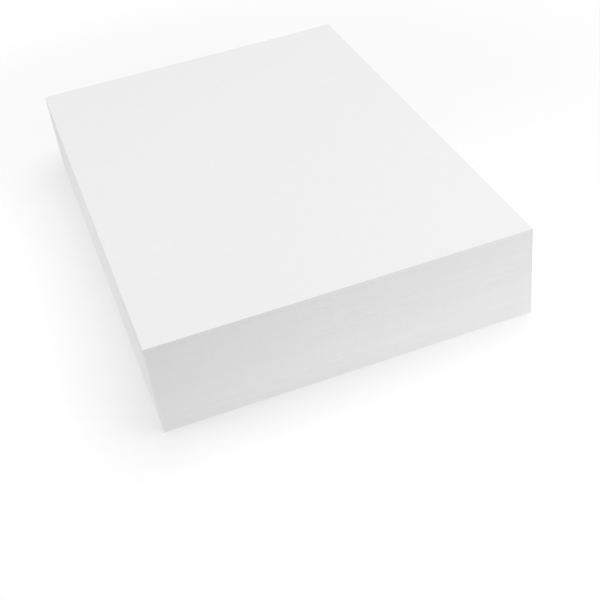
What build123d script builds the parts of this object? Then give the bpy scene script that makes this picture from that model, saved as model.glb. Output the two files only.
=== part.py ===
from build123d import *
import os

# A ream of office copy paper, out of its wrapper: five hundred loose A4 sheets that have been
# knocked up square on a table, so that they stand as one plain block.
#
# The sheets are cut together by one guillotine, so the block's sides are flat, its edges are
# sharp and its corners are true right angles. Loose sheets in a pile count as one solid.
#
# Frame: millimetres. The origin is the centre of the bottom sheet's underside, +X runs across
# the sheets' short side, +Y along their long side, and +Z up through the pile.

# Driving dimensions
sheet_width = 210.0  # short side of an ISO 216 A4 sheet
sheet_length = 297.0  # long side of an ISO 216 A4 sheet
sheet_count = 500  # the sheets that make a ream
sheet_thickness = 0.106  # one sheet of 80 g/m2 copy paper
air_gap = 0.006  # what stays under each sheet once the pile is out of its tight wrapper

# The pile's height follows from its sheets
sheet_pitch = sheet_thickness + air_gap
pile_height = sheet_count * sheet_pitch

# The sheets: the outline of one sheet, drawn where the bottom one lies and piled straight up
with BuildPart() as sheet_stack:
    with BuildSketch(Plane.XY) as sheet_outline:
        Rectangle(sheet_width, sheet_length)
    extrude(amount=pile_height)

sheet_stack.part.label = "sheet_stack"

os.makedirs("parts", exist_ok=True)
export_step(sheet_stack.part, "parts/sheet_stack.step")

print(f"pile {sheet_width:.1f} x {sheet_length:.1f} x {pile_height:.1f} mm, {sheet_count} sheets")
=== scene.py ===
# %% [markdown]
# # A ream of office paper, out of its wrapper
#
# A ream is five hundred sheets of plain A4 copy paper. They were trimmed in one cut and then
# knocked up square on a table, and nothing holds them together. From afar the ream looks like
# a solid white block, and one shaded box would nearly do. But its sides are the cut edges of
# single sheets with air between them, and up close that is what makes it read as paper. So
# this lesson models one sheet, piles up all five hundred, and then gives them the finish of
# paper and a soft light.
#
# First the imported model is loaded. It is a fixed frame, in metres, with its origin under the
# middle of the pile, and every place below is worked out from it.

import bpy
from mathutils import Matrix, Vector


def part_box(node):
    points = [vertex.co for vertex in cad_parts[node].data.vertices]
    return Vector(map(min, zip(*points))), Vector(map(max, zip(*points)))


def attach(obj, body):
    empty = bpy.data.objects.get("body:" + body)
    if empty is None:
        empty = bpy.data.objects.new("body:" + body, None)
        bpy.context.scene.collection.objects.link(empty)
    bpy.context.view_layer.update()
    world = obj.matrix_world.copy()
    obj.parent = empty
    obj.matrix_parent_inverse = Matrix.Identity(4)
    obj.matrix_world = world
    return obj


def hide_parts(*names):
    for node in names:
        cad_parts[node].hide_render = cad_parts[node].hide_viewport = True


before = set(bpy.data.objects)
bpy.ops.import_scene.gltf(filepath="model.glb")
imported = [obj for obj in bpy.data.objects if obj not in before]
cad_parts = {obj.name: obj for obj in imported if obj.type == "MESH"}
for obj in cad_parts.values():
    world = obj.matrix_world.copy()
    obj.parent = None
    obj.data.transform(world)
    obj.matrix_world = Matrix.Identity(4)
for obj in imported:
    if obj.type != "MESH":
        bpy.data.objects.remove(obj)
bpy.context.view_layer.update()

# %% [markdown]
# ## The sizes of a sheet and of the pile
#
# A sheet of 80 g/m2 copy paper is a little over a tenth of a millimetre thick. Five hundred
# of them make 53 mm, and yet the pile is 56 mm high, because loose sheets never quite close
# up: each one has a few thousandths of a millimetre of air under it. The sheets could be
# thickened until they touch. But it is the air that draws the fine dark lines between their
# edges, so it is kept, and the pitch from one sheet to the next comes from the pile's height.
#
# The pile's box comes from the frame. A hair of it stays free round the sheets and over them,
# so that a sheet may lie a little off square, or curl, and still be inside the box.

# %% Sheet and pile
import math
import random

import bpy
from mathutils import Matrix, Quaternion, Vector

MM = 0.001
pile_low, pile_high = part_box("sheet_stack")
pile_middle = (pile_low + pile_high) / 2
pile_width, pile_length, pile_height = pile_high - pile_low

sheet_count = 500
sheet_thickness = 0.106 * MM
side_margin = 0.12 * MM
head_room = 0.36 * MM

sheet_width = pile_width - 2 * side_margin
sheet_length = pile_length - 2 * side_margin
sheet_pitch = (pile_height - head_room) / sheet_count
print(f"sheet {sheet_width / MM:.2f} x {sheet_length / MM:.2f} x {sheet_thickness / MM:.3f} mm")
print(f"pitch {sheet_pitch / MM:.4f} mm, so {1 - sheet_thickness / sheet_pitch:.1%} of it is air")

# %% [markdown]
# ## The camera
#
# The ream is looked at over its short front side, from a little to the left and well above,
# so that its top, its front and a narrow strip of its long left side show. A camera can be
# given a place and three angles, but such numbers say little to a reader. Here it is set up
# as one would say it aloud: the point in the pile that it aims at, the turn round the ream,
# the height over the table, the distance, and a slight roll. Each of them can be changed
# without upsetting the others.

# %% Camera
camera_lens = 65.1
camera_distance = 582 * MM
camera_turn = math.radians(-14.9)
camera_height = math.radians(37.8)
camera_roll = math.radians(-8.0)
aim_to_left = 0.07 * pile_width
aim_to_front = 0.38 * pile_length
nearest_seen = 10 * MM
farthest_seen = 50

camera_aim = pile_middle + Vector((-aim_to_left, -aim_to_front, 0))
camera_back = Vector((
    math.sin(camera_turn) * math.cos(camera_height),
    -math.cos(camera_turn) * math.cos(camera_height),
    math.sin(camera_height),
))
bpy.ops.object.camera_add(location=camera_aim + camera_back * camera_distance)
camera = bpy.context.object
camera.name = "camera"
camera.rotation_mode = "QUATERNION"
level_view = (-camera_back).to_track_quat("-Z", "Y")
camera.rotation_quaternion = level_view @ Quaternion((0, 0, 1), camera_roll)
camera.data.lens = camera_lens
camera.data.clip_start = nearest_seen
camera.data.clip_end = farthest_seen
bpy.context.scene.camera = camera
print("camera at", [round(v, 3) for v in camera.location])

# %% [markdown]
# ## Modelling by hand, in code
#
# A mesh can be written vertex by vertex, but then only its maker can read it. Here it is made
# with operators, which do in code what the menus and keys do by hand. An operator acts on
# everything that is selected, and a freshly loaded frame is selected all over. So each step
# starts by letting go. These helpers do what the hands do between two steps: let go, take
# hold of some pieces, or go into edit mode on one.

# %% Helpers for operators


def let_go():
    """Nothing is selected any more, in object mode."""
    if bpy.context.object and bpy.context.object.mode != "OBJECT":
        bpy.ops.object.mode_set(mode="OBJECT")
    bpy.ops.object.select_all(action="DESELECT")


def take(*pieces):
    """Only these pieces are selected, and the first one is active."""
    let_go()
    for piece in pieces:
        piece.select_set(True)
    bpy.context.view_layer.objects.active = pieces[0]


def edit_all(piece):
    """Edit mode on one piece, with its whole mesh selected."""
    take(piece)
    bpy.ops.object.mode_set(mode="EDIT")
    bpy.ops.mesh.select_all(action="SELECT")


let_go()
print("selected:", len(bpy.context.selected_objects), "objects")

# %% [markdown]
# ## One sheet
#
# A real sheet is a slab with a face, a back and a cut rim, and it is as thin as paper. It
# could be a stretched cube, but that has no cells to bend in. It could be a plane that gets
# its thickness from a Solidify modifier, but pushing up a flat face does the same in one
# step. So it is a flat grid of the sheet's size, extruded in edit mode by its thickness. That
# gives a closed slab with as many cells as it needs, and the sheets deep in the pile need
# only a few, because they show no more than their edges.

# %% A sheet's slab
plain_cells = (3, 4)


def cut_sheet(name, cells):
    """One closed sheet on the table, at the frame's origin, with cells across and along."""
    let_go()
    cells_across, cells_along = cells
    bpy.ops.mesh.primitive_grid_add(
        x_subdivisions=cells_across, y_subdivisions=cells_along, size=1
    )
    sheet = bpy.context.object
    sheet.name = name
    edit_all(sheet)
    bpy.ops.transform.resize(value=(sheet_width, sheet_length, 1))
    bpy.ops.mesh.extrude_region_move(
        TRANSFORM_OT_translate={"value": (0, 0, sheet_thickness)}
    )
    bpy.ops.mesh.select_all(action="SELECT")
    bpy.ops.mesh.normals_make_consistent(inside=False)
    let_go()
    return sheet


plain_sheet = cut_sheet("plain_sheet", plain_cells)
print("one sheet:", len(plain_sheet.data.polygons), "faces", tuple(plain_sheet.dimensions))

# %% [markdown]
# ## Paper, and the nodes that it takes
#
# Uncoated paper is white and dull, but it isn't blank: one flat white would look like plastic.
# A scanned texture could give it life, but it would repeat, and it would have to be fitted to
# every edge. So both of a sheet's surfaces, its face and its cut edge, are made from noise.
# The noise reads Object coordinates, which are metres here, so each size below is the true
# size of a cloud or a fibre. The helpers stand for one step each: a new paper, a noise, a
# value spread over a range, a colour between two others, and a bump.

# %% The colours of paper, and helpers for its nodes
paper_white = (0.87, 0.87, 0.87)
paper_cloud = (0.862, 0.862, 0.862)
edge_shade = (0.83, 0.83, 0.83)
paper_gloss = 0.25


def new_paper(name):
    """A dull white material: itself, its nodes and links, its shader and its coordinates."""
    material = bpy.data.materials.new(name)
    material.use_nodes = True
    nodes, links = material.node_tree.nodes, material.node_tree.links
    shader = nodes["Principled BSDF"]
    shader.inputs["Base Color"].default_value = (*paper_white, 1)
    shader.inputs["Specular IOR Level"].default_value = paper_gloss
    place = nodes.new("ShaderNodeTexCoord").outputs["Object"]
    return material, nodes, links, shader, place


def noise_at(nodes, links, place, size, detail, stretch=(1, 1, 1)):
    """Noise whose blots are about this size in metres, drawn out where stretch is small."""
    mapping = nodes.new("ShaderNodeMapping")
    mapping.inputs["Scale"].default_value = stretch
    noise = nodes.new("ShaderNodeTexNoise")
    noise.inputs["Scale"].default_value = 1 / size
    noise.inputs["Detail"].default_value = detail
    links.new(place, mapping.inputs["Vector"])
    links.new(mapping.outputs["Vector"], noise.inputs["Vector"])
    return noise.outputs["Fac"]


def spread_out(nodes, links, value, low, high, to_low=0.0, to_high=1.0):
    """Maps low..high of a value to to_low..to_high, and holds it there."""
    ramp = nodes.new("ShaderNodeMapRange")
    ramp.inputs["From Min"].default_value = low
    ramp.inputs["From Max"].default_value = high
    ramp.inputs["To Min"].default_value = to_low
    ramp.inputs["To Max"].default_value = to_high
    links.new(value, ramp.inputs["Value"])
    return ramp.outputs["Result"]


def blend_colours(nodes, links, share, first, second):
    """A colour between two, by share. The first may also be another node's output."""
    mix = nodes.new("ShaderNodeMix")
    mix.data_type = "RGBA"
    links.new(share, mix.inputs["Factor"])
    if isinstance(first, tuple):
        mix.inputs["A"].default_value = (*first, 1)
    else:
        links.new(first, mix.inputs["A"])
    mix.inputs["B"].default_value = (*second, 1)
    return mix.outputs["Result"]


def raise_fibres(nodes, links, shader, height, depth, strength):
    """A bump that stands depth metres proud where height is 1."""
    bump = nodes.new("ShaderNodeBump")
    bump.inputs["Strength"].default_value = strength
    bump.inputs["Distance"].default_value = depth
    links.new(height, bump.inputs["Height"])
    links.new(bump.outputs["Normal"], shader.inputs["Normal"])


print("paper", paper_white, "with an edge down to", edge_shade)

# %% [markdown]
# ## The face of the paper
#
# Held to the light, a sheet shows a cloudy formation a few millimetres wide, and under a lens
# its face is a felt of fibres. The fibres could be modelled, but they stand only about a
# hundredth of a millimetre proud, and a bump is all that light can tell of that. Both are
# kept faint: the clouds move the colour by about one part in a hundred, and the fibres move
# the roughness a little too, so that no shine lies evenly on the sheet.

# %% Paper's face


def make_paper_face():
    """Faint clouds in the colour, and fibres in the roughness and the bump."""
    material, nodes, links, shader, place = new_paper("paper_face")
    cloud = noise_at(nodes, links, place, size=7 * MM, detail=3)
    cloud = spread_out(nodes, links, cloud, low=0.35, high=0.65)
    colour = blend_colours(nodes, links, cloud, paper_white, paper_cloud)
    links.new(colour, shader.inputs["Base Color"])
    fibres = noise_at(nodes, links, place, size=0.35 * MM, detail=3)
    roughness = spread_out(
        nodes, links, fibres, low=0.3, high=0.7, to_low=0.78, to_high=0.9
    )
    links.new(roughness, shader.inputs["Roughness"])
    raise_fibres(nodes, links, shader, fibres, depth=0.012 * MM, strength=0.35)
    return material


paper_face = make_paper_face()
print("material:", paper_face.name, "with", len(paper_face.node_tree.nodes), "nodes")

# %% [markdown]
# ## The cut edge
#
# The guillotine leaves another surface. It is rougher, each sheet's edge has a shade of its
# own, and a nick in the blade runs down through the whole pile as a faint upright streak.
# Stripes on the side of a box could stand for all this, but they would never fit the sheets.
# So the shade is kept on each sheet as a number called edge_tone, and the streaks are a noise
# that is drawn out along the pile's height. The gaps between the sheets need no paint,
# because they are real.

# %% Paper's edge


def make_cut_edge():
    """A shade for each sheet, upright streaks over all of them, and a torn grain."""
    material, nodes, links, shader, place = new_paper("cut_edge")
    tone = nodes.new("ShaderNodeAttribute")
    tone.attribute_name = "edge_tone"
    streaks = noise_at(nodes, links, place, size=1.6 * MM, detail=4, stretch=(1, 1, 0.01))
    streaks = spread_out(nodes, links, streaks, low=0.3, high=0.7, to_high=0.15)
    shade = nodes.new("ShaderNodeMath")
    shade.operation = "ADD"
    shade.use_clamp = True
    links.new(tone.outputs["Fac"], shade.inputs[0])
    links.new(streaks, shade.inputs[1])
    colour = blend_colours(nodes, links, shade.outputs["Value"], paper_white, edge_shade)
    links.new(colour, shader.inputs["Base Color"])
    torn = noise_at(nodes, links, place, size=0.12 * MM, detail=2)
    roughness = spread_out(
        nodes, links, torn, low=0.3, high=0.7, to_low=0.85, to_high=0.95
    )
    links.new(roughness, shader.inputs["Roughness"])
    raise_fibres(nodes, links, shader, torn, depth=0.01 * MM, strength=0.3)
    return material


cut_edge = make_cut_edge()
print("material:", cut_edge.name, "with", len(cut_edge.node_tree.nodes), "nodes")

# %% [markdown]
# ## Both surfaces on one sheet
#
# Every sheet wears both: the face above and below, and the cut edge round its rim. The rim
# could be picked out by its faces' numbers, but those change with the number of cells. Where
# a face looks doesn't: the rim's faces are the ones that look sideways.

# %% Finish the sheet
face_slot = 0
edge_slot = 1
sideways_limit = 0.5


def finish_paper(sheet):
    """Face paper on both sides, cut paper on the rim."""
    sheet.data.materials.append(paper_face)
    sheet.data.materials.append(cut_edge)
    for face in sheet.data.polygons:
        looks_sideways = abs(face.normal.z) < sideways_limit
        face.material_index = edge_slot if looks_sideways else face_slot


finish_paper(plain_sheet)
rim_faces = [face for face in plain_sheet.data.polygons if face.material_index == edge_slot]
print("rim faces:", len(rim_faces))

# %% [markdown]
# ## How the sheets lie
#
# A pile that was knocked up square is never quite square. Bundles of sheets slip together by
# a few hundredths of a millimetre, each sheet adds a little of its own, and each is turned by
# a hair. One random number for each sheet would give an even fuzz, like a brush. Real piles
# have steps in them, so the numbers are drawn by the bundle first and by the sheet second.
# The shades of the edges are drawn in the same way. The draws are seeded, so the pile comes
# out the same each time.

# %% Slips, turns and shades
pile_seed = 500
draws = random.Random(pile_seed)
smallest_bundle = 5
largest_bundle = 45
middle_tone = 0.3


def by_bundle(bundle_spread, sheet_spread, limit):
    """One number for every sheet, bottom to top: its bundle's share plus its own."""
    numbers = []
    while len(numbers) < sheet_count:
        share = draws.uniform(-bundle_spread, bundle_spread)
        for _ in range(draws.randint(smallest_bundle, largest_bundle)):
            number = share + draws.gauss(0, sheet_spread)
            numbers.append(max(-limit, min(limit, number)))
    return numbers[:sheet_count]


slip_spreads = {"bundle_spread": 0.035 * MM, "sheet_spread": 0.012 * MM, "limit": 0.08 * MM}
slips_across = by_bundle(**slip_spreads)
slips_along = by_bundle(**slip_spreads)
turns = by_bundle(
    bundle_spread=math.radians(0.004), sheet_spread=math.radians(0.003), limit=math.radians(0.012)
)
tone_steps = by_bundle(bundle_spread=0.1, sheet_spread=0.14, limit=middle_tone)
edge_tones = [middle_tone + step for step in tone_steps]
print(f"slips up to {max(map(abs, slips_across + slips_along)) / MM:.3f} mm")
print(f"edge tones from {min(edge_tones):.2f} to {max(edge_tones):.2f}")

# %% [markdown]
# ## Piling up
#
# All but the last few sheets lie flat under the weight of the others. An Array modifier could
# stack them in one go, but they would all be alike, and here each sheet has its own slip,
# turn and shade. So copies are laid from the table up, each with its own mesh. Five hundred
# objects would be hard to handle, so they are then joined into one piece, which stands for
# the solid block that the frame holds.

# %% The settled sheets
top_count = 5
settled_count = sheet_count - top_count


def lay_sheet(pattern, number):
    """A copy of a sheet, laid in the pile as sheet number, counted from the bottom."""
    sheet = pattern.copy()
    sheet.data = pattern.data.copy()
    bpy.context.scene.collection.objects.link(sheet)
    place = (
        pile_middle.x + slips_across[number],
        pile_middle.y + slips_along[number],
        pile_low.z + number * sheet_pitch,
    )
    sheet.matrix_world = Matrix.Translation(place) @ Matrix.Rotation(turns[number], 4, "Z")
    tone = sheet.data.attributes.new("edge_tone", "FLOAT", "FACE")
    tone.data.foreach_set("value", [edge_tones[number]] * len(sheet.data.polygons))
    return sheet


def settle(name, sheets):
    """Joins sheets into one piece with its place in its mesh, riding on the frame."""
    take(*sheets)
    if len(sheets) > 1:
        bpy.ops.object.join()
    piece = bpy.context.object
    piece.name = name
    bpy.ops.object.transform_apply(location=True, rotation=True, scale=True)
    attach(piece, "root")
    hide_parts("sheet_stack")
    return piece


settled_sheets = settle(
    "settled_sheets", [lay_sheet(plain_sheet, number) for number in range(settled_count)]
)
bpy.data.objects.remove(plain_sheet)
print(settled_count, "sheets,", len(settled_sheets.data.polygons), "faces")

# %% [markdown]
# ## The top sheets
#
# Nothing presses on the last few sheets, so they keep a little life: a soft wave, and one
# corner that has begun to curl, the most on the very top sheet. A cloth simulation could bend
# them too, but it is hard to hold to a few tenths of a millimetre. Two gentle pushes are
# enough, and each is given its height. The wave is a Displace modifier with a cloud texture,
# which is then applied. The curl is one corner lifted with proportional editing, so that what
# lies round it follows. These sheets are cut with more cells, to bend smoothly.

# %% The curling sheets
fine_cells = (21, 30)
corner_reach = 1 * MM
curl_reach = 45 * MM
curl_height = 0.3 * MM
wave_height = 0.05 * MM
wave_size = 90 * MM
smooth_angle = math.radians(30)

fine_sheet = cut_sheet("fine_sheet", fine_cells)
finish_paper(fine_sheet)

waves = bpy.data.textures.new("paper_waves", "CLOUDS")
waves.noise_scale = wave_size
waves.noise_depth = 0


def wave(sheet, height):
    """Lifts a sheet here and there by up to height, never lower than it lay."""
    take(sheet)
    bpy.ops.object.modifier_add(type="DISPLACE")
    displace = sheet.modifiers[-1]
    displace.texture = waves
    displace.direction = "Z"
    displace.mid_level = 0
    displace.strength = height
    bpy.ops.object.modifier_apply(modifier=displace.name)


def curl_corner(sheet, height):
    """Lifts the far right corner by height, and less and less of what lies round it."""
    edit_all(sheet)
    bpy.ops.mesh.select_all(action="DESELECT")
    bpy.ops.object.mode_set(mode="OBJECT")
    corner_x = sheet_width / 2 - corner_reach
    corner_y = sheet_length / 2 - corner_reach
    for vertex in sheet.data.vertices:
        vertex.select = vertex.co.x > corner_x and vertex.co.y > corner_y
    bpy.ops.object.mode_set(mode="EDIT")
    bpy.ops.transform.translate(
        value=(0, 0, height),
        use_proportional_edit=True,
        proportional_edit_falloff="SMOOTH",
        proportional_size=curl_reach,
    )
    let_go()


def top_sheet_at(step):
    """Step 1 is the lowest of the top sheets and top_count the very top one."""
    sheet = lay_sheet(fine_sheet, settled_count + step - 1)
    share = (step / top_count) ** 2
    wave(sheet, wave_height * share)
    curl_corner(sheet, curl_height * share)
    return sheet


curling_sheets = settle("curling_sheets", [top_sheet_at(step) for step in range(1, top_count)])
top_sheet = settle("top_sheet", [top_sheet_at(top_count)])
bpy.data.objects.remove(fine_sheet)
for piece in (curling_sheets, top_sheet):
    take(piece)
    bpy.ops.object.shade_smooth_by_angle(angle=smooth_angle)
print("top sheet reaches", round(max(v.co.z for v in top_sheet.data.vertices) / MM, 3), "mm")

# %% [markdown]
# ## The floor
#
# The ream stands on a pale floor that runs out of sight. A curved backdrop would do from one
# side only, so the floor is a flat disc that works from all sides. A white that is lit can't
# be both bright enough for a white ground and dim enough not to glare on the paper, so it has
# two lives. To the light it is white close to the ream, as if the ream lay on another one,
# and grey further out. So the feet of the ream's sides get some light back from right below,
# and the sides keep their shade. To the camera the floor is white all over, and only the
# ream's own soft shadow shows on it. Past the shadow it fades to the plain white of the
# background, so there is no horizon. Both fades go by the distance from the ream's middle,
# which is the same from wherever it is seen.

# %% Floor
floor_radius = 8.0
floor_corners = 96
floor_near = (0.96, 0.96, 0.96)
floor_far = (0.55, 0.55, 0.55)
full_white = (1.0, 1.0, 1.0)
near_reach = 0.17
far_reach = 0.30
shadow_reach = 0.24
white_reach = 0.42

let_go()
bpy.ops.mesh.primitive_circle_add(
    vertices=floor_corners, radius=floor_radius, fill_type="NGON", location=(0, 0, pile_low.z)
)
floor = bpy.context.object
floor.name = "floor"


def seen_share(nodes, links):
    """1 for what the camera sees, directly or by way of metal or glass, and 0 for light."""
    ray = nodes.new("ShaderNodeLightPath")
    seen = ray.outputs["Is Camera Ray"]
    for other in ("Is Glossy Ray", "Is Transmission Ray"):
        either = nodes.new("ShaderNodeMath")
        either.operation = "MAXIMUM"
        links.new(seen, either.inputs[0])
        links.new(ray.outputs[other], either.inputs[1])
        seen = either.outputs["Value"]
    return seen


def make_floor_white():
    """White with a shadow to the camera, and to the light white near and grey far."""
    material = bpy.data.materials.new("floor_white")
    material.use_nodes = True
    nodes, links = material.node_tree.nodes, material.node_tree.links
    shader = nodes["Principled BSDF"]
    shader.inputs["Roughness"].default_value = 1.0
    shader.inputs["Specular IOR Level"].default_value = 0.0
    measure = nodes.new("ShaderNodeVectorMath")
    measure.operation = "LENGTH"
    links.new(nodes.new("ShaderNodeTexCoord").outputs["Object"], measure.inputs[0])
    away = measure.outputs["Value"]
    seen = seen_share(nodes, links)
    grey = spread_out(nodes, links, away, low=near_reach, high=far_reach)
    to_light = blend_colours(nodes, links, grey, floor_near, floor_far)
    colour = blend_colours(nodes, links, seen, to_light, full_white)
    links.new(colour, shader.inputs["Base Color"])
    fade = spread_out(nodes, links, away, low=shadow_reach, high=white_reach)
    share = nodes.new("ShaderNodeMath")
    share.operation = "MULTIPLY"
    links.new(fade, share.inputs[0])
    links.new(seen, share.inputs[1])
    white = nodes.new("ShaderNodeEmission")
    floor_or_white = nodes.new("ShaderNodeMixShader")
    links.new(share.outputs["Value"], floor_or_white.inputs["Fac"])
    links.new(shader.outputs["BSDF"], floor_or_white.inputs[1])
    links.new(white.outputs["Emission"], floor_or_white.inputs[2])
    links.new(floor_or_white.outputs["Shader"], nodes["Material Output"].inputs["Surface"])
    return material


floor.data.materials.append(make_floor_white())
print("floor radius", floor_radius, "m, shadow kept out to", shadow_reach, "m")

# %% [markdown]
# ## The white tent
#
# A white block on a white floor is drawn by light alone: its top, its front and its side are
# told apart by a few steps of grey. One hard lamp would tear them far apart, with a black
# shadow. So the ream stands in a white tent, as small goods do in a studio. The tent is the
# world: it gives an even light from all round, at a little over two thirds of full strength,
# and it is plain white to the camera.

# %% Tent
tent_strength = 0.7

world = bpy.data.worlds.new("white_tent")
bpy.context.scene.world = world
world.use_nodes = True
tent_nodes, tent_links = world.node_tree.nodes, world.node_tree.links
tent = tent_nodes["Background"]
tent.inputs["Color"].default_value = (*full_white, 1)
tent_level = spread_out(
    tent_nodes, tent_links, seen_share(tent_nodes, tent_links),
    low=0, high=1, to_low=tent_strength, to_high=1.0,
)
tent_links.new(tent_level, tent.inputs["Strength"])
print("tent strength", tent_strength)

# %% [markdown]
# ## The lamps
#
# The tent alone would leave the ream flat, so three softboxes shape it. Suns could do it too,
# but a sun lights the near end of a face and its far end alike, and it is the slow change
# along each face that tells it from a drawing. One softbox hangs overhead, to the right, and
# lights the top. Two stand low: the one at the front right makes the front brighter towards
# its right end, and the one on the left lifts the long side, so that the corner between the
# two shows. More light would make the paper glare and lose its edges. Together with the tent
# they reach the level at which a colour comes out about as it is written, so the paper's
# white is set by its own colour.

# %% Lamps


def add_softbox(name, place, width, height, watts):
    """A lit panel that stands at this place, faces the ream and isn't seen itself."""
    place = Vector(place)
    bpy.ops.object.light_add(type="AREA", location=place)
    softbox = bpy.context.object
    softbox.name = name
    softbox.rotation_mode = "QUATERNION"
    softbox.rotation_quaternion = (pile_middle - place).to_track_quat("-Z", "Y")
    softbox.data.shape = "RECTANGLE"
    softbox.data.size = width
    softbox.data.size_y = height
    softbox.data.energy = watts
    softbox.visible_camera = False
    return softbox


lamps = (
    add_softbox("overhead_softbox", place=(0.25, 0.0, 1.0), width=0.8, height=0.8, watts=2.94),
    add_softbox("front_right_softbox", place=(0.3, -0.4, 0.14), width=0.4, height=0.26, watts=0.39),
    add_softbox("left_softbox", place=(-0.6, 0.0, 0.14), width=0.5, height=0.26, watts=0.78),
)
bpy.context.scene.view_settings.view_transform = "Standard"
print("lamps:", ", ".join(lamp.name for lamp in lamps))
